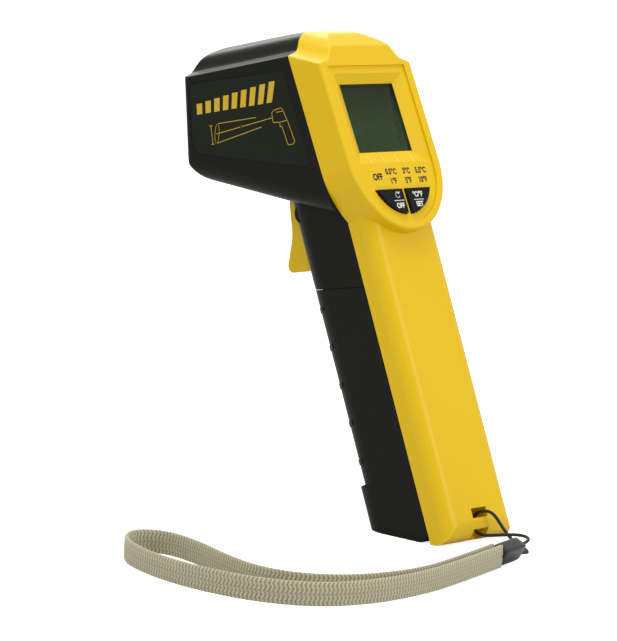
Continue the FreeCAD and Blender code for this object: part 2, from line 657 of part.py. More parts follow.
def front_housing(outer_grip, inner_grip, outer_head, inner_head):
    """Make the black front half: head, trigger bosses, label recesses and upper grip."""
    outside = fuse("FrontOutside", outer_head, outer_grip)
    inside = fuse("FrontInside", inner_head, inner_grip)
    behind = behind_seam("BehindFront", "60")
    door = below_door_seam("DoorRoom", "0", "0")
    shell = cut("FrontShell", outside, inside, behind, door)
    pivot = ("pivot_depth", "pivot_height")
    bosses = [rod("Boss" + side, HANDLE, "3.4", (low, *pivot), "handle_width / 2 - 8.1", ALONG_X)
              for side, low in (("Left", "-handle_width / 2 + 1"), ("Right", "7.1"))]
    pin_bore = rod("PinBore", HANDLE, "pivot_radius", ("-13.2", *pivot), "26.4", ALONG_X)
    trigger_slot = box("TriggerSlot", HANDLE, ("-trigger_half - 0.3", "trigger_half + 0.3"),
                       ("handle_depth - wall - 3", "handle_depth + 3"), ("99.4", "124.6"))
    bar = box("SpringBar", FOOT, ("-head_width / 2 + 1", "head_width / 2 - 1"),
              ("spring_y - 3", "spring_y + 3"), ("spring_high", "spring_high + 2"))
    peg = rod("SpringPeg", FOOT, "1.5", ("0", "spring_y", "spring_high - 2"), "2.5")
    eye = rod("EyeBore", NOSE, "bezel_radius - 1.2", ("0", "-6", "eye_height"), "12", ALONG_Y)
    spot = rod("SpotBore", NOSE, "spot_radius", ("0", "-6", "-spot_drop"), "12", ALONG_Y)
    recesses = [label_plate("LabelRecess" + side, sign, "0", "0.35", "1")
                for side, sign in (("Left", -1), ("Right", 1))]
    solid = fuse("FrontSolid", shell, *bosses, bar, peg, door_tongue())
    keep(cut("FrontHousing", solid, pin_bore, trigger_slot, eye, spot, *recesses), "front_housing")


def door_tongue():
    """Make the rim inside the front housing's lower edge that closes the joint with the door."""
    space = cut("TongueSpace", below_door_seam("TongueHigh", "-2", "-2"),
                below_door_seam("TongueLow", "2.5", "2.5"), behind_seam("TongueRear", "60"))
    low = box("TongueReach", HANDLE, ("-40", "40"), ("0", "40"), ("door_top - 2.8", "door_top + 20"))
    rings = []
    for name, outside in (("Tongue", "wall + 0.15"), ("TongueRoot", "wall - 0.3")):
        forms = [prism(name + side, handle_outline(name + side + "Section", "handle_depth", by),
                       "handle_reach") for side, by in (("Outside", outside), ("Inside", "wall + 1.1"))]
        rings.append(common(name + "Kept", cut(name + "Ring", *forms), space, low))
    root = cut("TongueJoined", rings[1], below_door_seam("TongueDoor", "-0.05", "-0.05"))
    return fuse("DoorTongue", rings[0], root)


def label_plate(name, sign, rim, depth, rise):
    """Make one side's label, or its recess, with its outline drawn in by a rim."""
    sketch = outline(name + "Outline", FOOT, SIDE_PLANE, [
        ("nose_y - 1.6", "nose_z + 10.3", "2"), ("face_y + 14.0", "face_z - 5.7", "2"),
        ("face_y - 1.0", "face_z - 35.6", "2"), ("nose_y - 5.0", "nose_z - 12.1", "5")])
    source = sketch if rim == "0" else inset(sketch, rim)
    block = prism(name + "Block", source, "head_width", "head_width")
    edges = [f"{sign} * (head_width / 2 - {depth})", f"{sign} * (head_width / 2 + {rise})"]
    if sign < 0:
        edges.reverse()
    slice_of = box(name + "Slice", WORLD, edges, ("-80", "120"), ("60", "200"))
    return common(name, block, slice_of)


def labels():
    """Make the two printed labels that sit in the head's sides."""
    for side, sign in (("left", -1), ("right", 1)):
        keep(label_plate("Label" + side.title(), sign, "0.12", "0.35", "-0.05"), "label_" + side)


def rear_housing(outer_grip, inner_grip, outer_head, inner_head):
    """Make the yellow rear half: display face, rear of the handle and strap bar."""
    behind = behind_seam("BehindRear", "60")
    outside = common("RearOutside", fuse("RearBoth", outer_head, outer_grip), behind)
    face_room = box("FaceRoom", FACE, ("-40", "40"), ("face_wall", "80"), ("-120", "40"))
    head_inside = common("HeadInside", inner_head, face_room)
    inside = fuse("RearInside", head_inside, inner_grip)
    shell = cut("RearShell", outside, inside)
    block = common("StrapBlock", outer_grip, behind, box(
        "StrapBlockBox", HANDLE, ("-strap_hole_half - 2.6", "strap_hole_half + 2.6"),
        ("0", "strap_pocket + 1.6"), ("-4", "strap_hole_low + strap_hole_tall + 2.2")))
    posts = screw_posts()
    solid = common("RearSolid", fuse("RearWithBlock", shell, block, *posts), behind)
    tools = [face_openings(), *strap_openings(), *screw_holes()]
    keep(cut("RearHousing", solid, *tools), "rear_housing")


def face_openings():
    """Join what is cut out of the display face: shield, bezel, display opening and button holes."""
    shield = prism("ShieldCut", shield_outline("ShieldShape", "shield_half", "face_round_centre + 1.2",
                                               "shield_top"), "3", "shield_depth")
    bezel = doc.addObject("Part::Wedge", "BezelCut")
    top, low = "-display_top", "-display_top - display_tall"
    for prop, expression in (
            ("Xmin", "-display_half - bezel_side"), ("Xmax", "display_half + bezel_side"),
            ("Zmin", f"{low} - bezel_under"), ("Zmax", f"{top} + bezel_top"),
            ("X2min", "-display_half"), ("X2max", "display_half"),
            ("Z2min", low), ("Z2max", top), ("Ymin", "0"), ("Ymax", "face_wall - shield_depth")):
        bezel.setExpression(prop, sized(expression))
    place(bezel, FACE, y="shield_depth")
    opening = box("DisplayCut", FACE, ("-display_half", "display_half"), ("0", "face_wall + 3"),
                  (low, top))
    holes = [button_form("ButtonHole" + side, sign, "0.25", "-3", "face_wall + 1")
             for side, sign in (("Left", -1), ("Right", 1))]
    return fuse("FaceCuts", shield, bezel, opening, *holes)


def strap_openings():
    """Make the strap's hole, the pocket behind its bar and the slot under it."""
    half = "strap_hole_half"
    hole = box("StrapHole", HANDLE, (f"-{half}", half), ("-4", "strap_pocket"),
               ("strap_hole_low", "strap_hole_low + strap_hole_tall"))
    pocket = box("StrapPocket", HANDLE, (f"-{half}", half), ("strap_bar_deep", "strap_pocket"),
                 ("-6", "strap_hole_low + strap_hole_tall"))
    slot = box("StrapSlot", HANDLE, (f"-{half}", half), ("-8", "strap_pocket"),
               ("-8", "strap_bar_low"))
    return hole, pocket, slot


def screw_posts():
    """Make the posts that take the tray's two screws and the main board's four."""
    posts = [rod(f"TrayPost{n}", HANDLE, "3.2", ("0", "wall - 0.5", height),
                 "handle_seam - wall + 0.5", ALONG_Y) for n, height in enumerate(TRAY_SCREWS)]
    for n, (x, z) in enumerate(BOARD_SCREWS):
        posts.append(rod(f"BoardPost{n}", FACE, "2.0", (x, "face_wall - 0.5", z),
                         "board_depth - face_wall + 0.5", ALONG_Y))
    return posts


def screw_holes():
    """Make the pilot holes in those posts."""
    holes = [rod(f"TrayPilot{n}", HANDLE, "0.95", ("0", "3.4", height), "handle_seam", ALONG_Y)
             for n, height in enumerate(TRAY_SCREWS)]
    for n, (x, z) in enumerate(BOARD_SCREWS):
        holes.append(rod(f"BoardPilot{n}", FACE, "0.75", (x, "face_wall + 0.8", z),
                         "board_depth", ALONG_Y))
    return holes


def screws():
    """Make the pan-head screws of the tray and of the main board."""
    tray = [screw(f"TrayScrew{n}", HANDLE, "0", height, "handle_seam + tray_back - 0.5", 0.93, 1.3)
            for n, height in enumerate(TRAY_SCREWS)]
    keep(group("TrayScrews", *tray), "tray_screws")
    board = [screw(f"BoardScrew{n}", FACE, x, z, "board_depth + board_thick", 0.73, 1.6)
             for n, (x, z) in enumerate(BOARD_SCREWS)]
    keep(group("BoardScrews", *board), "board_screws")


def screw(name, frame, x, z, seat, shank, head):
    """Make one screw whose head stands on a seat that faces forward."""
    body = rod(name + "Shank", frame, str(shank), (x, f"{seat} - 5.5", z), "5.6", ALONG_Y)
    cap = rod(name + "Head", frame, str(head), (x, seat, z), "0.55", ALONG_Y)
    return fuse(name, body, cap)


# ---------------------------------------------------------------- display, board and buttons

def button_form(name, sign, grow, back, front):
    """Make the quarter-round form of a button between two depths, grown by a clearance."""
    disc = rod(name + "Disc", FACE, f"button_radius + {grow}", ("0", back, "-button_centre"),
               f"({front}) - ({back})", ALONG_Y)
    inner = f"button_split - {grow}"
    sides = (inner, "40") if sign > 0 else ("-40", f"-({inner})")
    window = box(name + "Window", FACE, sides, (back, front), ("-90", f"-button_top + {grow}"))
    return common(name, disc, window)


def buttons():
    """Make the two buttons, each with a rim inside the housing, and the switches they press."""
    switches = []
    for side, sign in (("Left", -1), ("Right", 1)):
        cap = button_form("Button" + side + "Cap", sign, "0",
                          "shield_depth - button_proud", "face_wall + 0.3")
        rim = button_form("Button" + side + "Rim", sign, "button_flange",
                          "face_wall + 0.1", "face_wall + 1.1")
        split = box("Button" + side + "Split", FACE, ("-40", "-0.15") if sign < 0 else ("0.15", "40"),
                    ("0", "10"), ("-80", "0"))
        centre = f"{sign} * 5.6"
        stem = rod("Button" + side + "Stem", FACE, "1.6", (centre, "face_wall + 1", "-48.8"),
                   "2", ALONG_Y)
        body = fuse("Button" + side, cap, common("Rim" + side, rim, split), stem)
        keep(body, "mode_button" if sign < 0 else "unit_button")
        base = box("Switch" + side, FACE, (f"{centre} - 2.6", f"{centre} + 2.6"),
                   ("6.6", "board_depth"), ("-51.4", "-46.2"))
        nib = rod("Nib" + side, FACE, "1.2", (centre, "face_wall + 3.6", "-48.8"),
                  "1", ALONG_Y)
        switches.append(fuse("DomeSwitch" + side, base, nib))
    keep(group("DomeSwitches", *switches), "dome_switches")


def display():
    """Make the window, panel, frame, contact strips and main board behind the face."""
    low, high = "-display_top - display_tall - 1.4", "-display_top + 1.4"
    half = "display_half + 1.4"
    keep(box("Window", FACE, (f"-({half})", half), ("face_wall", "face_wall + window_thick"),
             (low, high)), "display_window")
    panel_back = "face_wall + window_thick + panel_thick"
    keep(box("Panel", FACE, (f"-({half}) - 0.4", f"{half} + 0.4"),
             ("face_wall + window_thick", panel_back), (low, high)), "display_panel")
    frame_outer = box("FrameOuter", FACE, (f"-({half}) - 0.5", f"{half} + 0.5"),
                      (panel_back, "board_depth"), (f"{low} - 1.0", f"{high} + 1.0"))
    frame_inner = box("FrameInner", FACE, ("-display_half + 1", "display_half - 1"),
                      (f"{panel_back} - 1", "board_depth + 1"), (f"{low} + 1.0", f"{high} - 1.0"))
    rooms, strips = [], []
    for side, edge in (("Low", f"{low} - 0.6"), ("High", f"{high} - 1.0")):
        rooms.append(box("StripRoom" + side, FACE, ("-display_half", "display_half"),
                         (f"{panel_back} - 1", "board_depth + 1"), (edge, f"{edge} + 1.6")))
        strips.append(box("Strip" + side, FACE, ("-display_half + 0.1", "display_half - 0.1"),
                          (panel_back, "board_depth"), (f"{edge} + 0.1", f"{edge} + 1.5")))
    keep(cut("DisplayFrame", frame_outer, frame_inner, *rooms), "display_frame")
    keep(group("ContactStrips", *strips), "contact_strips")
    plate = box("BoardPlate", FACE, ("-20", "20"), ("board_depth", "board_depth + board_thick"),
                ("-52.5", "-4.8"))
    shape = shield_outline("BoardShape", "head_width / 2", "face_round_centre", "-20")
    rim = prism("BoardRim", inset(shape, "wall + 0.3"), "board_depth + 5", "board_depth + 5")
    board = common("BoardBlank", plate, rim)
    holes = [rod(f"BoardHole{n}", FACE, "0.95", (x, "board_depth - 1", z), "4", ALONG_Y)
             for n, (x, z) in enumerate(BOARD_SCREWS)]
    keep(cut("MainBoard", board, *holes), "main_board")
    back = "board_depth + board_thick"
    keep(rod("Buzzer", FACE, "5.5", ("-8", back, "-30"), "3.4", ALONG_Y), "buzzer")
    keep(box("Chip", FACE, ("2", "14"), (back, f"{back} + 1.4"), ("-28", "-16")), "processor_chip")


# ---------------------------------------------------------------- measuring head

def measuring_head():
    """Make the nose ring, infrared lens, sensor tube, sensor and spot lamp."""
    eye = "eye_height"
    flange = rod("RingFlange", NOSE, "bezel_radius", ("0", "0", eye), "0.4", ALONG_Y)
    neck = rod("RingNeck", NOSE, "bezel_radius - 1.25", ("0", "-4.4", eye), "5", ALONG_Y)
    bore = rod("RingBore", NOSE, "aperture_radius", ("0", "-6", eye), "9", ALONG_Y)
    seat = rod("RingSeat", NOSE, "tube_radius + 0.02", ("0", "-6", eye), "4.2", ALONG_Y)
    keep(cut("NoseRing", fuse("RingBlank", flange, neck), bore, seat), "nose_ring")
    keep(rod("InfraredLens", NOSE, "tube_radius - 0.9", ("0", "-3.0", eye), "1.0", ALONG_Y),
         "infrared_lens")
    tube_start = "-1.8 - tube_length"
    barrel = rod("TubeBarrel", NOSE, "tube_radius", ("0", tube_start, eye), "tube_length", ALONG_Y)
    hollow = rod("TubeHollow", NOSE, "tube_radius - 1.6", ("0", f"{tube_start} + 6", eye),
                 "tube_length", ALONG_Y)
    seat = rod("LensSeat", NOSE, "tube_radius - 0.9", ("0", "-3.0", eye), "3", ALONG_Y)
    rear_bore = rod("TubeRearBore", NOSE, "4.6", ("0", f"{tube_start} - 1", eye), "9", ALONG_Y)
    keep(cut("SensorTube", barrel, hollow, seat, rear_bore), "sensor_tube")
    can = rod("SensorCan", NOSE, "4.55", ("0", tube_start, eye), "4.6", ALONG_Y)
    keep(can, "thermopile_sensor")
    keep(box("SensorBoard", NOSE, ("-9.5", "9.5"), (f"{tube_start} - board_thick", tube_start),
             (f"{eye} - 9.5", f"{eye} + 9.5")), "sensor_board")
    drop = "-spot_drop"
    lens = rod("SpotFront", NOSE, "spot_radius - 0.05", ("0", "-3.4", drop), "2.5", ALONG_Y)
    rim = rod("SpotRim", NOSE, "spot_radius + 0.5", ("0", "-4.4", drop), "1.1", ALONG_Y)
    keep(fuse("SpotLens", lens, rim), "spot_lens")
    keep(fuse("SpotLamp", rod("LampBody", NOSE, "2.5", ("0", "-12.6", drop), "8", ALONG_Y),
              rod("LampRim", NOSE, "2.9", ("0", "-13.6", drop), "1", ALONG_Y)), "spot_lamp")


# ---------------------------------------------------------------- trigger

def trigger():
    """Make the trigger on its pin, its return spring and the switch that it presses."""
    lever = outline("TriggerSide", FOOT, SIDE_PLANE, [
        ("under_rear_y + 20.6", "100.0", "1.6"), ("under_rear_y + 18.0", "88.0", "14"),
        ("under_rear_y + 19.3", "75.3", "2.2"), ("under_rear_y + 11.5", "77.2", "2"), ("under_rear_y + 2.5", "79.6", "2"),
        ("under_rear_y + 2.5", "92.0", "3"), ("under_rear_y + 1.6", "100.6", "2.5")])
    body = prism("TriggerBody", lever, "trigger_half", "trigger_half")
    tail = box("TriggerTail", FOOT, ("-3", "3"), ("spring_y - 3", "spring_y + 5"),
               ("spring_low - 3", "spring_low"))
    arm = box("TriggerArm", HANDLE, ("-2.5", "2.5"),
              ("switch_face + 0.1 + (pivot_height - 100.5) * sin(trigger_travel)", "33"),
              ("100.4", "103"))
    pivot = ("pivot_depth", "pivot_height")
    bore = rod("TriggerBore", HANDLE, "pivot_radius + running_fit", ("-10", *pivot), "20", ALONG_X)
    keep(cut("Trigger", fuse("TriggerLever", body, tail, arm), bore), "trigger")
    keep(rod("TriggerPin", HANDLE, "pivot_radius", ("-13", *pivot), "26", ALONG_X), "trigger_pin")
    keep(trigger_spring(), "trigger_spring")
    base = box("SwitchBase", HANDLE, ("-3", "3"), ("switch_face - 5.2", "switch_face - 1.6"),
               ("98.5", "104.5"))
    plunger = rod("SwitchPlunger", HANDLE, "1.4", ("0", "switch_face - 1.7", "101.5"), "1.7", ALONG_Y)
    keep(fuse("TriggerSwitch", base, plunger), "trigger_switch")
    board_face = "switch_face - 5.2"
    keep(box("SwitchBoard", HANDLE, ("-handle_width / 2 + wall", "handle_width / 2 - wall"),
             (f"{board_face} - board_thick", board_face), ("95", "109")), "switch_board")


def trigger_spring():
    """Make the upright coil between the trigger's tail and the cross bar."""
    wire = 0.3
    seat = where(FOOT, "0", "spring_y", "spring_low")
    length = value("spring_high - spring_low") - 2 * wire
    helix = Part.makeHelix(length / 5, length, 2.0)
    helix.translate(seat + Vector(0, 0, wire))
    ring = Part.Circle(seat + Vector(2.0, 0, wire), Vector(0, 1, 0), wire).toShape()
    feature = doc.addObject("Part::Feature", "TriggerSpring")
    feature.Shape = Part.Wire(helix).makePipeShell([Part.Wire([ring])], True, True)
    return feature


def write_sub_parts():
    """Check every feature and sub-part, then write one STEP file for each sub-part."""
    doc.recompute()
    broken = [item.Name for item in doc.Objects if {"Invalid", "Error"} & set(item.State)]
    if broken:
        raise RuntimeError("features that failed: " + ", ".join(broken))
    for feature in sub_parts:
        shape = feature.Shape
        if shape.isNull() or not shape.isValid() or not shape.Solids:
            raise RuntimeError("no valid solid in " + feature.Label)
    os.makedirs("parts", exist_ok=True)
    for feature in sub_parts:
        feature.Shape.exportStep(f"parts/{feature.Label}.step")
    print(len(sub_parts), "sub-parts written")


def build():
    """Build the whole thermometer."""
    fill_sheet()
    outer_grip = handle_form("GripOuter", "0")
    inner_grip = handle_form("GripInner", "wall")
    outer_front, outer_rear = head_form("HeadOuter", "0")
    inner_front, inner_rear = head_form("HeadInner", "wall")
    front_housing(outer_grip, inner_grip, outer_front, inner_front)
    rear_housing(outer_grip, inner_grip, softened("HeadRearSoft", outer_rear), inner_rear)
    labels()
    battery_door(outer_grip, inner_grip)
    battery_tray()
    battery_and_leads()
    screws()
    buttons()
    display()
    measuring_head()
    trigger()
    strap()
    write_sub_parts()


build()
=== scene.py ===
"""Finish, prints and wrist strap of an infrared thermometer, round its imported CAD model.

Metres throughout, in the row frame: +X the user's right, +Y forward, +Z up. MM turns millimetres into
metres. A surface is a function of two parameters on a grid, or a profile carried along a path.
"""

import math

import bmesh
import bpy
import numpy as np
from mathutils import Matrix, Vector


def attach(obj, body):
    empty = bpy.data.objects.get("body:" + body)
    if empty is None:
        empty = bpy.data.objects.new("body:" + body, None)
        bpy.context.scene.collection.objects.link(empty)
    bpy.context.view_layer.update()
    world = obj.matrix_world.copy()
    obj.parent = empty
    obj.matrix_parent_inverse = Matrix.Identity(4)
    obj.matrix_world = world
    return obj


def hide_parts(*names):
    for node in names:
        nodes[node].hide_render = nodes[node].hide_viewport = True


MM = 0.001
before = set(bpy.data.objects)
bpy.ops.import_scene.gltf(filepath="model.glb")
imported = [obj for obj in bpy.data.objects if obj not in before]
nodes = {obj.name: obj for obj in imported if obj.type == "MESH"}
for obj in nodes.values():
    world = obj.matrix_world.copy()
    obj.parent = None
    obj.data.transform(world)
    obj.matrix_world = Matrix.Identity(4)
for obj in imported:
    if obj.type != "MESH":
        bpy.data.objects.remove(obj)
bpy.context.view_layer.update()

# The display face's own frame, in millimetres: across it, into it and up along it, from the middle of
# its upper edge. The top of the face leans forward, away from the user.
FACE_LEAN = math.radians(26.5)
FACE_ORIGIN = np.array([0.0, 2.5, 148.7])

# Depths into the face (a negative one stands proud of it), and the slope under the display.
SHIELD_DEPTH = 0.6
BUTTON_TOP = -0.4
BEZEL_START, BEZEL_RUN, BEZEL_FALL = -36.4, 4.3, 1.8

# How far the prints stand off their surfaces, and how far the side prints are from the middle plane.
INK = 0.03
BEZEL_INK = 0.04
SIDE_LABEL = 22.89

# Points round the section of a swept piece.
ROUND = 48
WHITE = (1, 1, 1, 1)


def face_to_world(points):
    """Place points given in the display face's frame: turn them by the face's lean about X, then shift."""
    c, s = math.cos(FACE_LEAN), math.sin(FACE_LEAN)
    turn = np.array([[1, 0, 0], [0, c, s], [0, -s, c]])
    return np.asarray(points, float) @ turn.T + FACE_ORIGIN


# ---------------------------------------------------------------- camera and light

def make_camera():
    """Stand the camera to the left of and behind the thermometer, a little above it, slightly rolled."""
    azimuth, elevation, roll = (math.radians(a) for a in (-50.0, 8.057, 3.819))
    place = (-0.9293, -0.7618, 0.2320)
    back = Vector((math.sin(azimuth) * math.cos(elevation),
                   -math.cos(azimuth) * math.cos(elevation), math.sin(elevation)))
    right = (-back).cross(Vector((0, 0, 1))).normalized()
    up = back.cross(right)
    rolled_right = right * math.cos(roll) + up * math.sin(roll)
    rolled_up = up * math.cos(roll) - right * math.sin(roll)
    camera = bpy.data.objects.new("camera", bpy.data.cameras.new("camera"))
    bpy.context.scene.collection.objects.link(camera)
    camera.matrix_world = Matrix(((rolled_right.x, rolled_up.x, back.x, place[0]),
                                  (rolled_right.y, rolled_up.y, back.y, place[1]),
                                  (rolled_right.z, rolled_up.z, back.z, place[2]),
                                  (0, 0, 0, 1)))
    camera.data.sensor_width = 36.0
    camera.data.lens = 210.3
    camera.data.clip_start = 0.05
    camera.data.clip_end = 20.0
    bpy.context.scene.camera = camera
    bpy.context.scene.view_settings.view_transform = "Standard"


def area_light(name, place, target, width, height, power):
    """Add a soft rectangular light that looks from a place towards a target."""
    light = bpy.data.lights.new(name, "AREA")
    light.shape = "RECTANGLE"
    light.size, light.size_y, light.energy = width, height, power
    lamp = bpy.data.objects.new(name, light)
    bpy.context.scene.collection.objects.link(lamp)
    lamp.location = place
    lamp.rotation_euler = (Vector(target) - Vector(place)).to_track_quat("-Z", "Y").to_euler()


def make_studio():
    """Lay a pale floor, light the room evenly and add the soft lights of a product studio.

    The floor's glow and the world's full white are for rays straight from the camera only, so neither
    of them lights the object.
    """
    half, floor_glow, room_light = 6.0, 0.75, 0.66
    corners = [(-half, -half, 0), (half, -half, 0), (half, half, 0), (-half, half, 0)]
    floor = mesh_piece("studio_floor", corners, [(0, 1, 2, 3)])
    pale, tree, shader = plain_material("studio_floor", (0.6, 0.6, 0.6), 0.9)
    shader.inputs["Emission Color"].default_value = WHITE
    seen = tree.nodes.new("ShaderNodeLightPath")
    glow = tree.nodes.new("ShaderNodeMath")
    glow.operation = "MULTIPLY"
    glow.inputs[1].default_value = floor_glow
    tree.links.new(seen.outputs["Is Camera Ray"], glow.inputs[0])
    tree.links.new(glow.outputs["Value"], shader.inputs["Emission Strength"])
    floor.data.materials.append(pale)
    world = bpy.data.worlds.new("studio")
    bpy.context.scene.world = world
    world.use_nodes = True
    sky = world.node_tree
    background = sky.nodes["Background"]
    background.inputs["Color"].default_value = WHITE
    seen = sky.nodes.new("ShaderNodeLightPath")
    strength = sky.nodes.new("ShaderNodeMapRange")
    strength.inputs["To Min"].default_value = room_light
    strength.inputs["To Max"].default_value = 1.0
    sky.links.new(seen.outputs["Is Camera Ray"], strength.inputs["Value"])
    sky.links.new(strength.outputs["Result"], background.inputs["Strength"])
    area_light("top_light", (-0.1, 0.1, 1.1), (0, 0, 0.08), 0.7, 0.7, 6.2)
    area_light("rear_light", (0.25, -1.1, 0.55), (0, 0, 0.09), 0.5, 0.7, 3.7)
    area_light("crown_light", (0.75, 0.95, 0.75), (0, 0, 0.14), 0.7, 0.5, 4.0)
    area_light("left_light", (-1.1, 0.3, 0.5), (0, 0, 0.09), 0.5, 0.9, 1.4)


# ---------------------------------------------------------------- mesh helpers

def mesh_piece(name, points, faces, material=None):
    """Make a mesh object from points in metres and faces given by index."""
    mesh = bpy.data.meshes.new(name)
    mesh.from_pydata([tuple(p) for p in np.asarray(points, float)], [], [tuple(f) for f in faces])
    mesh.update()
    piece = bpy.data.objects.new(name, mesh)
    bpy.context.scene.collection.objects.link(piece)
    if material:
        mesh.materials.append(material)
    return piece


def grid_faces(rows, columns, wrap_columns):
    """List the four-sided faces of a grid, closed round its columns if asked."""
    r = np.arange(rows - 1)[:, None]
    c = np.arange(columns if wrap_columns else columns - 1)[None, :]
    d = (c + 1) % columns
    quads = np.stack([r * columns + c, r * columns + d, (r + 1) * columns + d, (r + 1) * columns + c], -1)
    return quads.reshape(-1, 4).tolist()


def squared_off(wave, power):
    """Raise a sine or cosine to a power and keep its sign: below 1 it squares off the round it draws."""
    return np.sign(wave) * np.abs(wave) ** power


def smooth(piece, angle=40):
    """Shade a piece smoothly, except over edges sharper than an angle."""
    piece.data.shade_smooth()
    piece.data.set_sharp_from_angle(angle=math.radians(angle))
    return piece


# ---------------------------------------------------------------- materials

def plain_material(name, color, roughness):
    """Start a material whose shader has a colour and a roughness of its own."""
    material = bpy.data.materials.new(name)
    material.use_nodes = True
    tree = material.node_tree
    shader = tree.nodes["Principled BSDF"]
    shader.inputs["Base Color"].default_value = (*color, 1)
    shader.inputs["Roughness"].default_value = roughness
    return material, tree, shader


def moulded_plastic(name, color, roughness, grain, depth, mottle=0.06, specular=0.5):
    """Make a moulded plastic: spark-eroded grain as bump, slightly uneven colour and gloss."""
    grain_height, mottle_scale = 0.04 * MM, 30
    material, tree, shader = plain_material(name, color, roughness)
    shader.inputs["Specular IOR Level"].default_value = specular
    place = tree.nodes.new("ShaderNodeTexCoord")
    fine = tree.nodes.new("ShaderNodeTexNoise")
    fine.inputs["Scale"].default_value = grain
    fine.inputs["Detail"].default_value = 3
    wide = tree.nodes.new("ShaderNodeTexNoise")
    wide.inputs["Scale"].default_value = mottle_scale
    for noise in (fine, wide):
        tree.links.new(place.outputs["Object"], noise.inputs["Vector"])
    bump = tree.nodes.new("ShaderNodeBump")
    bump.inputs["Strength"].default_value = depth
    bump.inputs["Distance"].default_value = grain_height
    tree.links.new(fine.outputs["Fac"], bump.inputs["Height"])
    tree.links.new(bump.outputs["Normal"], shader.inputs["Normal"])
    tint = tree.nodes.new("ShaderNodeMix")
    tint.data_type = "RGBA"
    tint.inputs["A"].default_value = (*[v * (1 - mottle) for v in color], 1)
    tint.inputs["B"].default_value = (*[min(1, v * (1 + mottle)) for v in color], 1)
    tree.links.new(wide.outputs["Fac"], tint.inputs["Factor"])
    tree.links.new(tint.outputs["Result"], shader.inputs["Base Color"])
    gloss = tree.nodes.new("ShaderNodeMapRange")
    gloss.inputs["To Min"].default_value = roughness * 0.85
    gloss.inputs["To Max"].default_value = roughness * 1.15
    tree.links.new(fine.outputs["Fac"], gloss.inputs["Value"])
    tree.links.new(gloss.outputs["Result"], shader.inputs["Roughness"])
    return material


def metal(name, color, roughness):
    """Make a drawn or plated metal, its gloss uneven in fine streaks along X."""
    material, tree, shader = plain_material(name, color, roughness)
    shader.inputs["Metallic"].default_value = 1.0
    place = tree.nodes.new("ShaderNodeTexCoord")
    stretch = tree.nodes.new("ShaderNodeMapping")
    stretch.inputs["Scale"].default_value = (0.1, 1, 1)
    streaks = tree.nodes.new("ShaderNodeTexNoise")
    streaks.inputs["Scale"].default_value = 6000
    tree.links.new(place.outputs["Object"], stretch.inputs["Vector"])
    tree.links.new(stretch.outputs["Vector"], streaks.inputs["Vector"])
    spread = tree.nodes.new("ShaderNodeMapRange")
    spread.inputs["To Min"].default_value = roughness * 0.7
    spread.inputs["To Max"].default_value = roughness * 1.4
    tree.links.new(streaks.outputs["Fac"], spread.inputs["Value"])
    tree.links.new(spread.outputs["Result"], shader.inputs["Roughness"])
    return material


def clear_plastic(name, tint, roughness=0.04, bending=1.49):
    """Make a clear moulded lens or window with faint flow marks in its surface."""
    material, tree, shader = plain_material(name, tint, roughness)
    shader.inputs["Transmission Weight"].default_value = 1.0
    shader.inputs["IOR"].default_value = bending
    place = tree.nodes.new("ShaderNodeTexCoord")
    flow = tree.nodes.new("ShaderNodeTexNoise")
    flow.inputs["Scale"].default_value = 120
    tree.links.new(place.outputs["Object"], flow.inputs["Vector"])
    bump = tree.nodes.new("ShaderNodeBump")
    bump.inputs["Strength"].default_value = 0.03
    bump.inputs["Distance"].default_value = 0.1 * MM
    tree.links.new(flow.outputs["Fac"], bump.inputs["Height"])
    tree.links.new(bump.outputs["Normal"], shader.inputs["Normal"])
    return material


def display_material():
    """Make the switched-off liquid crystal panel: olive, with painted shade darkening it towards its top
    edge.
    """
    panel_foot, panel_head = 124 * MM, 142 * MM
    material, tree, shader = plain_material("display_glass", (0.05, 0.085, 0.035), 0.4)
    shader.inputs["Specular IOR Level"].default_value = 0.15
    place = tree.nodes.new("ShaderNodeTexCoord")
    split = tree.nodes.new("ShaderNodeSeparateXYZ")
    tree.links.new(place.outputs["Object"], split.inputs["Vector"])
    height = tree.nodes.new("ShaderNodeMapRange")
    height.inputs["From Min"].default_value = panel_foot
    height.inputs["From Max"].default_value = panel_head
    tree.links.new(split.outputs["Z"], height.inputs["Value"])
    # Painted shade: the olive is mixed darker with height, towards the panel's top edge.
    tint = tree.nodes.new("ShaderNodeMix")
    tint.data_type = "RGBA"
    tint.inputs["A"].default_value = (0.080, 0.128, 0.050, 1)
    tint.inputs["B"].default_value = (0.036, 0.052, 0.017, 1)
    tree.links.new(height.outputs["Result"], tint.inputs["Factor"])
    tree.links.new(tint.outputs["Result"], shader.inputs["Base Color"])
    return material


def braid_material(name, light, painted_shade):
    """Make the strap's yarn: uneven fibres as bump, and painted shade deep between the plaits, a darker
    colour where they sink low.
    """
    material, tree, shader = plain_material(name, light, 0.85)
    shader.inputs["Sheen Weight"].default_value = 0.25
    shader.inputs["Sheen Roughness"].default_value = 0.5
    # Painted shade: where the plaits sink low, the yarn's colour mixes towards the darker one.
    depth = tree.nodes.new("ShaderNodeAttribute")
    depth.attribute_name = "plait_height"
    tint = tree.nodes.new("ShaderNodeMix")
    tint.data_type = "RGBA"
    tint.inputs["A"].default_value = (*painted_shade, 1)
    tint.inputs["B"].default_value = (*light, 1)
    tree.links.new(depth.outputs["Fac"], tint.inputs["Factor"])
    tree.links.new(tint.outputs["Result"], shader.inputs["Base Color"])
    unwrap = tree.nodes.new("ShaderNodeUVMap")
    unwrap.uv_map = "along_across"
    yarn = tree.nodes.new("ShaderNodeTexNoise")
    yarn.inputs["Scale"].default_value = 4.0
    yarn.inputs["Detail"].default_value = 4
    tree.links.new(unwrap.outputs["UV"], yarn.inputs["Vector"])
    bump = tree.nodes.new("ShaderNodeBump")
    bump.inputs["Strength"].default_value = 0.5
    bump.inputs["Distance"].default_value = 0.1 * MM
    tree.links.new(yarn.outputs["Fac"], bump.inputs["Height"])
    tree.links.new(bump.outputs["Normal"], shader.inputs["Normal"])
    return material


# ---------------------------------------------------------------- wrist strap

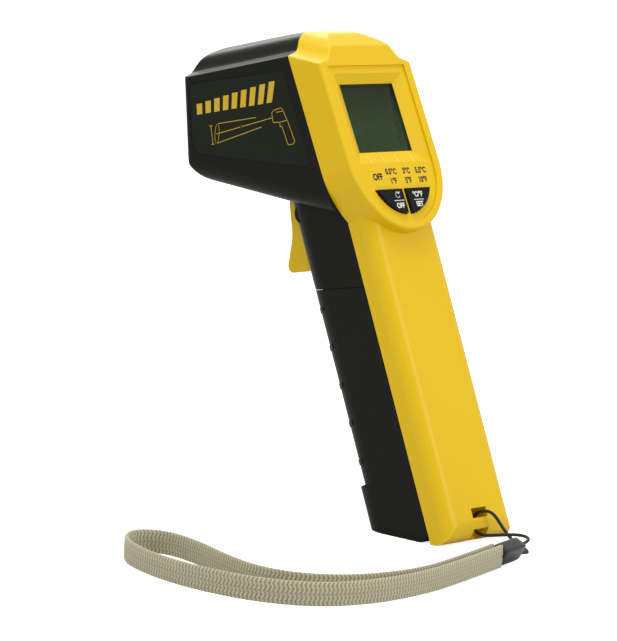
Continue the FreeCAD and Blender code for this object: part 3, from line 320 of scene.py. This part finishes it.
CORD_ROUTE = [
    (-12.0, -82.34, 4.4), (-5.0, -81.3, 5.0), (1.5, -76.5, 4.9), (3.8, -70.5, 4.4),
    (2.6, -65.0, 3.4), (0.6, -60.6, 2.6), (0.2, -56.6, 2.8), (0.9, -54.1, 7.6),
    (1.6, -57.8, 10.3), (2.8, -61.2, 9.8), (4.3, -64.0, 5.4), (4.6, -68.5, 1.6),
    (2.5, -74.5, 0.8), (-1.5, -79.0, 0.9), (-6.6, -81.5, 1.8), (-12.0, -82.34, 2.4)]
BAND_LEVEL = 4.05
BAND_ROUTE = [
    (-26.66, -87.28), (-49.9, -93.0), (-77.0, -98.6), (-102.0, -98.5), (-119.5, -91.5),
    (-129.5, -76.0), (-132.0, -54.0), (-128.5, -33.5), (-121.0, -17.5), (-109.5, -9.5),
    (-101.5, -16.5), (-104.5, -32.5), (-112.0, -50.5), (-116.5, -67.0), (-112.5, -81.5),
    (-99.5, -91.5), (-76.5, -95.4), (-49.2, -89.9), (-27.33, -84.45)]


def smooth_route(name, points):
    """Make the curve of a cord: a quadratic NURBS spline whose control points are the route's."""
    curve = bpy.data.curves.new(name, "CURVE")
    curve.dimensions = "3D"
    spline = curve.splines.new("NURBS")
    spline.points.add(len(points) - 1)
    for knot, point in zip(spline.points, points):
        knot.co = (*[v * MM for v in point], 1)
    spline.order_u = 3
    spline.use_endpoint_u = True
    curve.resolution_u = 24
    piece = bpy.data.objects.new(name, curve)
    bpy.context.scene.collection.objects.link(piece)
    return piece


def read_route(piece):
    """Read a curve's own line as an array of points, without its bevel."""
    mesh = bpy.data.meshes.new_from_object(piece)
    line = np.array([v.co[:] for v in mesh.vertices])
    bpy.data.meshes.remove(mesh)
    return line


def evenly(line, step):
    """Space points along a line at an even step of its length, and give their distances along it."""
    lengths = np.concatenate([[0], np.cumsum(np.linalg.norm(np.diff(line, axis=0), axis=1))])
    along = np.linspace(0, lengths[-1], int(lengths[-1] / step) + 1)
    return np.stack([np.interp(along, lengths, line[:, k]) for k in range(3)], -1), along


def make_cord(black):
    """Lay the thin cord through the handle's hole: a circle carried along its route."""
    radius = 0.525 * MM
    cord = smooth_route("wrist_cord", CORD_ROUTE)
    cord.data.bevel_depth = radius
    cord.data.bevel_resolution = 5
    cord.data.use_fill_caps = True
    cord.data.materials.append(black)
    return cord


def make_band(braid):
    """Weave the flat band: a flattened oval, standing on edge, carried along the route and plaited.

    Point(s, a) = route(s) + up * 3.5 S (1 + 0.05 h e) + outward * C (0.5 + 0.24 h), in millimetres. S is
    sin(a) to the power 0.8 and C is cos(a) to the power 0.55, both with their signs kept. h is the height
    of the slanting plaits, from 0 to 1: a cosine along the band, shifted across each column to and fro,
    times a ridge along the middle of the column. e is S to the sixth, so it counts at the edges only.
    """
    half_width, flat_depth, plait_rise, edge_rise = 3.5, 0.5, 0.24, 0.05
    plait_length, column_width, first_column = 1.3, 1.2, 3.6
    guide = smooth_route("band_guide", [(x, y, BAND_LEVEL) for x, y in BAND_ROUTE])
    line, along = evenly(read_route(guide), 0.28 * MM)
    bpy.data.objects.remove(guide)
    tangent = np.gradient(line, axis=0)
    tangent /= np.linalg.norm(tangent, axis=1)[:, None]
    up = np.array([0, 0, 1.0])
    outward = np.cross(tangent, up)
    outward /= np.linalg.norm(outward, axis=1)[:, None]
    angle = np.linspace(0, 2 * np.pi, ROUND, endpoint=False)[None, :]
    across = squared_off(np.sin(angle), 0.8)
    thick = squared_off(np.cos(angle), 0.55)
    position = across * half_width
    columns = (position + first_column) / column_width
    slant = np.abs((columns % 2) - 1) * 0.5
    other_face = (np.cos(angle) < 0) * 0.5
    turns = along[:, None] / MM / plait_length + slant + other_face
    plait = 0.5 + 0.5 * np.cos(2 * np.pi * turns)
    ridge = np.abs(np.sin(np.pi * columns)) ** 0.5
    height = plait ** 0.8 * (0.6 + 0.4 * ridge)
    size = 1 + edge_rise * height * np.abs(across) ** 6
    lift = flat_depth + plait_rise * height
    point = (line[:, None, :] + up * (position * size)[:, :, None] * MM
             + outward[:, None, :] * (thick * lift)[:, :, None] * MM)
    first_end = tuple(range(ROUND))
    last_end = tuple(range(len(along) * ROUND - 1, (len(along) - 1) * ROUND - 1, -1))
    faces = grid_faces(len(along), ROUND, True) + [first_end, last_end]
    band = mesh_piece("wrist_band", point.reshape(-1, 3), faces, braid)
    store_height(band, height)
    store_uv(band, along, angle)
    band.data.shade_smooth()
    return band, line


def store_height(piece, height):
    """Keep the plaits' height at each point, for the painted shade between them."""
    attribute = piece.data.attributes.new("plait_height", "FLOAT", "POINT")
    attribute.data.foreach_set("value", np.ascontiguousarray(height, np.float32).reshape(-1))


def store_uv(piece, along, angle):
    """Unwrap a swept piece, in millimetres: u is the distance along, v the angle times a mean radius."""
    mean_radius = 2.4
    layer = piece.data.uv_layers.new(name="along_across")
    u = np.repeat(along / MM, ROUND)
    v = np.tile(angle.reshape(-1) * mean_radius, len(along))
    loops = np.zeros(len(piece.data.loops), np.int32)
    piece.data.loops.foreach_get("vertex_index", loops)
    layer.data.foreach_set("uv", np.stack([u[loops], v[loops]], -1).astype(np.float32).reshape(-1))


def make_ferrule(gloss):
    """Mould the ferrule: a rounded box along its axis, tilted about it, with rounded ends.

    Point(t, a) = centre + 7.7 t axis + e(t) (2.5 c(a) side + 3.1 s(a) tall), in millimetres, where c and
    s are the cosine and sine raised to the power 0.35, signs kept, and e(t) closes both ends.
    """
    half_length, half_side, half_tall, corner_power = 7.7, 2.5, 3.1, 0.35
    turn, tilt = math.radians(13.24), math.radians(28)
    centre = np.array([-19.5, -84.1, 3.95])
    axis = np.array([math.cos(turn), math.sin(turn), 0])
    level = np.array([-math.sin(turn), math.cos(turn), 0])
    side = level * math.cos(tilt) + np.array([0, 0, math.sin(tilt)])
    tall = np.cross(axis, side)
    t = np.array([-1, -0.995, -0.97, -0.93, -0.6, 0, 0.6, 0.93, 0.97, 0.995, 1])
    close = np.array([0.0, 0.86, 0.94, 0.98, 1, 1, 1, 0.98, 0.94, 0.86, 0.0])
    angle = np.linspace(0, 2 * np.pi, ROUND, endpoint=False)
    wide = squared_off(np.cos(angle), corner_power)
    high = squared_off(np.sin(angle), corner_power)
    ring = side * (wide * half_side)[:, None] + tall * (high * half_tall)[:, None]
    point = centre + t[:, None, None] * half_length * axis + close[:, None, None] * ring
    piece = mesh_piece("strap_clip", point.reshape(-1, 3) * MM, grid_faces(len(t), ROUND, True), gloss)
    weld(piece.data)
    return smooth(piece, 50)


def weld(mesh):
    """Merge a mesh's doubled points and point its faces outwards."""
    work = bmesh.new()
    work.from_mesh(mesh)
    bmesh.ops.remove_doubles(work, verts=work.verts, dist=1e-6)
    bmesh.ops.recalc_face_normals(work, faces=work.faces)
    work.to_mesh(mesh)
    work.free()


# ---------------------------------------------------------------- prints

def flat_text(name, words, size, place, material, lay, stretch):
    """Print words as a flat mesh: the outline of the letters, filled, laid on a surface."""
    boldness = 0.045
    text = bpy.data.curves.new(name, "FONT")
    text.body = words
    text.size = size
    text.align_x = "CENTER"
    text.align_y = "CENTER"
    text.offset = size * boldness
    holder = bpy.data.objects.new(name, text)
    bpy.context.scene.collection.objects.link(holder)
    bpy.context.view_layer.update()
    mesh = bpy.data.meshes.new_from_object(holder)
    flat = np.array([v.co[:] for v in mesh.vertices])
    faces = [tuple(p.vertices) for p in mesh.polygons]
    bpy.data.objects.remove(holder)
    bpy.data.meshes.remove(mesh)
    local = np.stack([flat[:, 0] * stretch + place[0], flat[:, 1] + place[1]], -1)
    return mesh_piece(name, lay(local) * MM, faces, material)


def on_face(local, depth):
    """Lay flat points at a depth, or at a depth for each point, in the display face's frame."""
    depths = np.broadcast_to(depth, len(local))
    return face_to_world(np.stack([local[:, 0], depths, local[:, 1]], -1))


def on_shield(local):
    """Lay flat points on the display's sunk shield."""
    return on_face(local, SHIELD_DEPTH - INK)


def on_button(local):
    """Lay flat points on the buttons' tops."""
    return on_face(local, BUTTON_TOP - INK)


def on_bezel(local):
    """Lay flat points on the slope below the display, which falls 1.8 mm over 4.3 mm."""
    return on_face(local, SHIELD_DEPTH + (local[:, 1] - BEZEL_START) / BEZEL_RUN * BEZEL_FALL - BEZEL_INK)


def on_side(local, side):
    """Lay flat points, given as (forward, up), on the label of one side of the head."""
    return np.stack([np.full(len(local), side * SIDE_LABEL), local[:, 0], local[:, 1]], -1)


def strokes(name, lines, width, material, lay):
    """Draw lines as one flat mesh: each run between two points is a rectangle of the pen's width.

    A rectangle runs past both its points by a share of half the width, so that corners join.
    """
    overrun = 0.6
    points, faces = [], []
    for line in lines:
        line = np.asarray(line, float)
        run = np.diff(line, axis=0)
        ahead = run / np.linalg.norm(run, axis=1)[:, None] * width / 2
        out = np.stack([-ahead[:, 1], ahead[:, 0]], -1)
        low, high = line[:-1] - ahead * overrun, line[1:] + ahead * overrun
        corners = np.stack([low - out, high - out, high + out, low + out], 1).reshape(-1, 2)
        faces += (len(points) + np.arange(len(corners)).reshape(-1, 4)).tolist()
        points += corners.tolist()
    return mesh_piece(name, lay(np.array(points)) * MM, faces, material)


def arc(centre, radius, start, stop, count=24, squash=1.0):
    """List points on an arc, given in degrees; squash narrows it sideways into an ellipse."""
    angle = np.radians(np.linspace(start, stop, count))
    return np.stack([centre[0] + radius * squash * np.cos(angle),
                     centre[1] + radius * np.sin(angle)], -1)


def label_art(side, gold):
    """Print a side label: a rising scale of slanted bars, and the widening spot as a line drawing.

    Points are (forward, up), in millimetres.
    """
    name = "left" if side < 0 else "right"
    bars_wanted, gap_before, gap_after, lowest_rise = 9, 0.012, 0.03, 0.5
    low_a, low_b = np.array([52.3, 124.7]), np.array([19.1, 132.4])
    high_a, high_b = np.array([53.3, 131.6]), np.array([18.5, 139.3])
    corners = []
    for k in range(bars_wanted):
        start, stop = k / bars_wanted + gap_before, (k + 1) / bars_wanted - gap_after
        rise = lowest_rise + (1 - lowest_rise) * k / (bars_wanted - 1)
        foot = [low_a + (low_b - low_a) * share for share in (start, stop)]
        head = [high_a + (high_b - high_a) * share for share in (start, stop)]
        corners += [foot[0], foot[1], foot[1] + (head[1] - foot[1]) * rise,
                    foot[0] + (head[0] - foot[0]) * rise]
    faces = np.arange(len(corners)).reshape(-1, 4).tolist()
    bars = mesh_piece("label_scale_" + name, on_side(np.array(corners), side) * MM, faces, gold)
    tool = [(19.9, 128.7), (19.3, 129.6), (16.4, 130.8), (15.5, 130.4), (13.0, 126.9), (9.4, 120.8),
            (10.2, 119.8), (12.1, 119.4), (15.3, 125.1), (16.0, 124.7), (16.2, 126.2), (19.0, 125.8),
            (19.9, 128.7)]
    lines = [tool, [(43.0, 122.8), (26.6, 126.6)], [(42.5, 116.5), (23.9, 123.8)],
             [(42.9, 119.5), (19.8, 127.2)], [(45.6, 121.8), (44.2, 116.0)],
             [(46.2, 121.8), (45.0, 121.9)], [(44.8, 115.9), (43.6, 116.1)],
             [(16.2, 126.2), (13.2, 127.2)], [(18.0, 129.2), (15.4, 129.9)],
             arc((42.7, 119.65), 3.2, 0, 360, 37, 0.28), arc((32.7, 123.1), 0.3, 0, 360, 13),
             arc((32.7, 123.1), 0.12, 0, 360, 9), arc((44.9, 119.0), 0.25, 0, 360, 11)]
    pen = 0.2
    drawing = strokes("label_drawing_" + name, lines, pen, gold, lambda flat: on_side(flat, side))
    return [bars, drawing]


def make_prints():
    """Print the settings under the display, the legends on the buttons and both side labels.

    Places are millimetres across the face and down it from its upper edge.
    """
    brown = moulded_plastic("print_brown", (0.028, 0.010, 0.003), 0.6, 3000, 0.1)
    white = moulded_plastic("print_white", (0.75, 0.74, 0.7), 0.6, 3000, 0.1)
    pale = moulded_plastic("print_pale", (0.86, 0.70, 0.20), 0.6, 3000, 0.1)
    gold = moulded_plastic("print_gold", (0.66, 0.42, 0.01), 0.5, 3000, 0.1)
    off_size, setting_size, legend_size = 3.0, 2.6, 2.3
    setting_stretch, legend_stretch = 0.9, 0.95
    celsius_row, fahrenheit_row = 39.4, 42.6
    pieces = []
    for name, words, x, down, size in (
            ("print_off", "OFF", -10.1, 41.05, off_size),
            ("print_half_c", "0.5°C", -2.9, celsius_row, setting_size),
            ("print_three_c", "3°C", 4.85, celsius_row, setting_size),
            ("print_five_c", "5.5°C", 12.1, celsius_row, setting_size),
            ("print_one_f", "1°F", -2.85, fahrenheit_row, setting_size),
            ("print_five_f", "5°F", 4.65, fahrenheit_row, setting_size),
            ("print_ten_f", "10°F", 11.95, fahrenheit_row, setting_size)):
        setting = flat_text(name, words, size, (x, -down), brown, on_shield, setting_stretch)
        pieces.append((setting, "housing"))
    for name, words, x, down, body in (
            ("legend_off", "OFF", -4.2, 51.2, "mode_button"),
            ("legend_set", "SET", 5.6, 51.0, "unit_button"),
            ("legend_units", "°C/°F", 5.8, 47.7, "unit_button")):
        legend = flat_text(name, words, legend_size, (x, -down), white, on_button, legend_stretch)
        pieces.append((legend, body))
    rule_down, rule_half, rule_width = 49.42, 2.4, 0.25
    for name, body, x in (
            ("legend_mode_rule", "mode_button", -4.2), ("legend_unit_rule", "unit_button", 5.7)):
        run = [(x - rule_half, -rule_down), (x + rule_half, -rule_down)]
        pieces.append((strokes(name, [run], rule_width, white, on_button), body))
    loop_width, tick_width = 0.3, 0.35
    arrow_head = [(-3.05, -46.5), (-3.5, -47.15), (-4.3, -46.85)]
    loop = [arc((-4.3, -47.5), 0.95, 40, 330), arrow_head]
    pieces.append((strokes("legend_loop", loop, loop_width, white, on_button), "mode_button"))
    ticks = [[(x, -33.4), (x, -36.1)] for x in (-10.8, -3.9, 2.9, 10.4)]
    pieces.append((strokes("bezel_ticks", ticks, tick_width, pale, on_bezel), "housing"))
    for side in (-1, 1):
        pieces += [(piece, "housing") for piece in label_art(side, gold)]
    for piece, body in pieces:
        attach(piece, body)


def finish_node(names, material):
    """Give CAD nodes a material."""
    for name in names:
        node = nodes[name]
        node.data.materials.clear()
        node.data.materials.append(material)


make_camera()
cord_black = moulded_plastic("cord_black", (0.012, 0.012, 0.011), 0.7, 9000, 0.5)
clip_black = moulded_plastic("clip_black", (0.005, 0.005, 0.005), 0.25, 2500, 0.05, 0.06, 0.4)
# The braid's second colour is painted shade, laid deep between the plaits.
braid_beige = braid_material("braid_beige", (0.66, 0.61, 0.43), (0.24, 0.21, 0.12))
cord = make_cord(cord_black)
ferrule = make_ferrule(clip_black)
band, band_line = make_band(braid_beige)
for piece in (cord, ferrule, band):
    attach(piece, "housing")
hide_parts("strap_cord")
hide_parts("strap_ferrule")
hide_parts("strap_band")

make_studio()
yellow = moulded_plastic("shell_yellow", (0.80, 0.52, 0.002), 0.33, 2600, 0.12, 0.02, 0.3)
black = moulded_plastic("shell_black", (0.0095, 0.0100, 0.0075), 0.34, 2200, 0.3, 0.08, 0.12)
film = moulded_plastic("label_film", (0.0175, 0.0210, 0.0140), 0.5, 4200, 0.1, 0.05, 0.05)
button_black = moulded_plastic("button_black", (0.004, 0.004, 0.0035), 0.24, 2600, 0.08, 0.06, 0.16)
inner_black = moulded_plastic("inner_black", (0.02, 0.02, 0.02), 0.5, 2400, 0.2)
inner_white = moulded_plastic("inner_white", (0.7, 0.7, 0.66), 0.5, 2400, 0.2)
board = moulded_plastic("board_green", (0.012, 0.09, 0.03), 0.35, 900, 0.2, 0.2)
strip = moulded_plastic("strip_rubber", (0.45, 0.42, 0.38), 0.8, 5000, 0.3, 0.2)
lens = moulded_plastic("lens_plastic", (0.7, 0.7, 0.65), 0.3, 1500, 0.05)
lens_clear = clear_plastic("spot_clear", (0.9, 0.93, 0.9))
window = clear_plastic("window_clear", (0.88, 0.92, 0.88), 0.06, 1.12)
case = moulded_plastic("battery_case", (0.012, 0.014, 0.02), 0.25, 1800, 0.05, 0.2)
wire = moulded_plastic("wire_cover", (0.14, 0.006, 0.005), 0.45, 3000, 0.1)
lamp = clear_plastic("lamp_red", (0.6, 0.02, 0.02))
steel = metal("steel", (0.55, 0.55, 0.57), 0.25)
for names, material in (
        (("rear_housing", "trigger"), yellow), (("front_housing", "battery_door"), black),
        (("label_left", "label_right"), film), (("mode_button", "unit_button"), button_black),
        (("display_panel",), display_material()), (("display_window",), window),
        (("spot_lens",), lens_clear), (("infrared_lens",), lens), (("spot_lamp",), lamp),
        (("nose_ring", "sensor_tube", "dome_switches", "buzzer", "processor_chip", "trigger_switch",
          "battery_tray", "battery_snap"), inner_black),
        (("display_frame",), inner_white), (("contact_strips",), strip), (("battery",), case),
        (("sensor_board", "main_board", "switch_board"), board), (("battery_leads",), wire),
        (("thermopile_sensor", "board_screws", "trigger_pin", "trigger_spring", "tray_screws",
          "door_hinge_pin"), steel),
        (("strap_cord",), cord_black), (("strap_ferrule",), clip_black), (("strap_band",), braid_beige)):
    finish_node(names, material)
make_prints()
